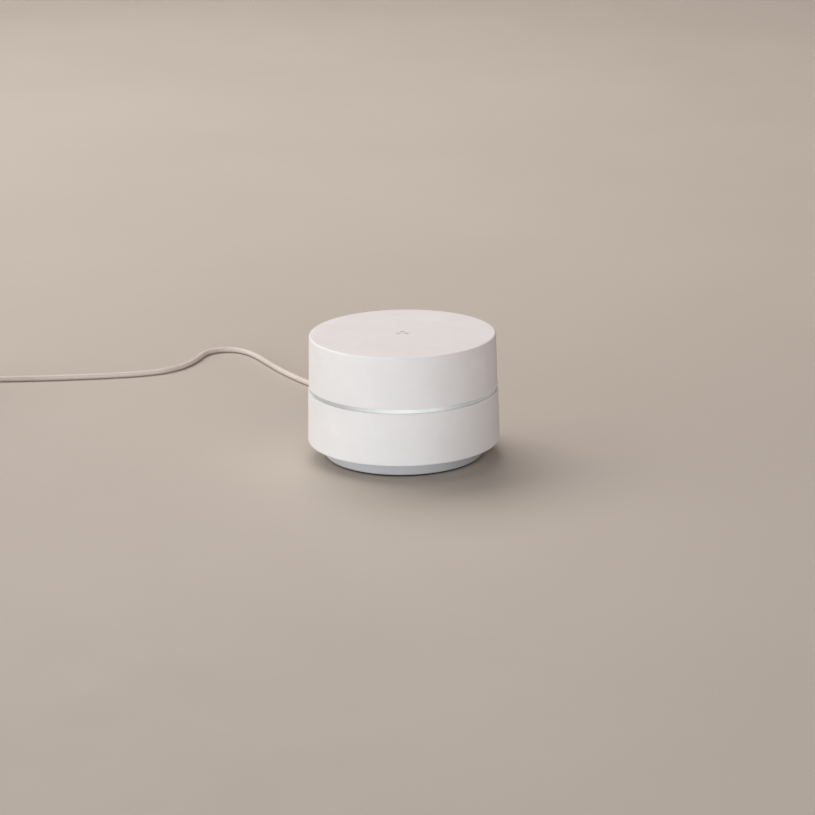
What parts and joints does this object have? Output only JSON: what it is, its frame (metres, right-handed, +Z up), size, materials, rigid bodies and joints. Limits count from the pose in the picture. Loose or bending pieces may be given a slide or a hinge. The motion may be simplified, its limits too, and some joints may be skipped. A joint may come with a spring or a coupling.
{
  "type": "mesh wifi node",
  "caption": "Round wifi node with a lit slit around its housing, ethernet sockets in a bay under the rear and a USB power lead.",
  "frame": {"origin": "centre of the footprint, on the surface that the node stands on", "axes": "+Z up, the front is -Y, and the cables leave the base at the rear, +Y"},
  "size_m": [0.375, 0.2686, 0.0688],
  "materials": {
    "shell_white": "fine satin white plastic",
    "mark_grey": "smooth pale grey inlay",
    "light_diffuser": "frosted clear plastic, lit from behind at the front",
    "base_grey": "fine matte grey plastic",
    "foot_rubber": "soft dark rubber",
    "bay_grey": "matte grey plastic",
    "screw_steel": "zinc plated",
    "circuit_board": "green solder mask",
    "chip_black": "moulded package",
    "tinned_steel": "tinned sheet",
    "thermal_pad": "soft silicone pad",
    "cast_aluminium": "die-cast",
    "ferrite": "pressed ferrite",
    "capacitor_can": "drawn can",
    "white_board": "white solder mask",
    "led_lens": "clear moulded lens",
    "flex_film": "amber film",
    "ivory_nylon": "moulded nylon",
    "frame_plastic": "moulded plastic",
    "antenna_copper": "stamped copper alloy",
    "gold_contact": "gold plated",
    "coax_jacket": "thin black jacket",
    "jack_black": "moulded plastic",
    "socket_steel": "nickel-plated sheet",
    "cord_white": "smooth off-white jacket",
    "tie_white": "woven strap",
    "adapter_white": "gloss white plastic",
    "blade_nickel": "nickel-plated brass"
  },
  "bodies": {
    "housing": {"upper_shell": "shell_white", "lower_shell": "shell_white", "top_mark": "mark_grey", "light_guide": "light_diffuser", "base_housing": "base_grey", "foot_ring": "foot_rubber", "port_bay": "bay_grey", "base_screws": "screw_steel", "main_board": "circuit_board", "chassis_screws": "screw_steel", "processor": "chip_black", "memory_chips": "chip_black", "flash_chip": "chip_black", "radio_chips": "chip_black", "switch_chip": "chip_black", "cpu_shield": "tinned_steel", "radio_shields": "tinned_steel", "thermal_pads": "thermal_pad", "heat_sink": "cast_aluminium", "inductors": "ferrite", "capacitors": "capacitor_can", "ethernet_transformers": "chip_black", "light_board": "white_board", "light_leds": "led_lens", "light_flex": "flex_film", "flex_connector": "ivory_nylon", "antenna_frame": "frame_plastic", "frame_screws": "screw_steel", "antennas_2ghz": "antenna_copper", "antennas_5ghz": "antenna_copper", "bluetooth_antenna": "antenna_copper", "coax_plugs": "gold_contact", "coax_leads": "coax_jacket", "wan_jack_shield": "tinned_steel", "wan_jack_body": "jack_black", "wan_jack_contacts": "gold_contact", "lan_jack_shield": "tinned_steel", "lan_jack_body": "jack_black", "lan_jack_contacts": "gold_contact", "usb_socket_housing": "jack_black", "usb_socket_shell": "socket_steel", "usb_socket_tongue": "jack_black", "reset_switch": "chip_black"},
    "reset": {"reset_button": "bay_grey", "reset_plunger": "ivory_nylon"},
    "power_lead": {"power_plug_tip": "socket_steel", "power_plug_grip": "cord_white", "power_plug_relief": "cord_white", "power_cord": "cord_white", "cord_coil": "cord_white", "cord_tie": "tie_white", "cord_tail": "cord_white", "adapter_relief": "cord_white", "adapter_case": "adapter_white", "adapter_face": "adapter_white", "adapter_blades": "blade_nickel"}
  },
  "joints": [
    {"name": "reset_press", "type": "slide", "parent": "housing", "child": "reset", "axis": [0, 0, 1], "range_m": [0, 0.0008], "stiffness_N_per_m": 600, "springref_m": -0.0005},
    {"name": "power_lead_pull", "type": "slide", "parent": "housing", "child": "power_lead", "axis": [0, 1, 0], "range_m": [0, 0.007]}
  ]
}
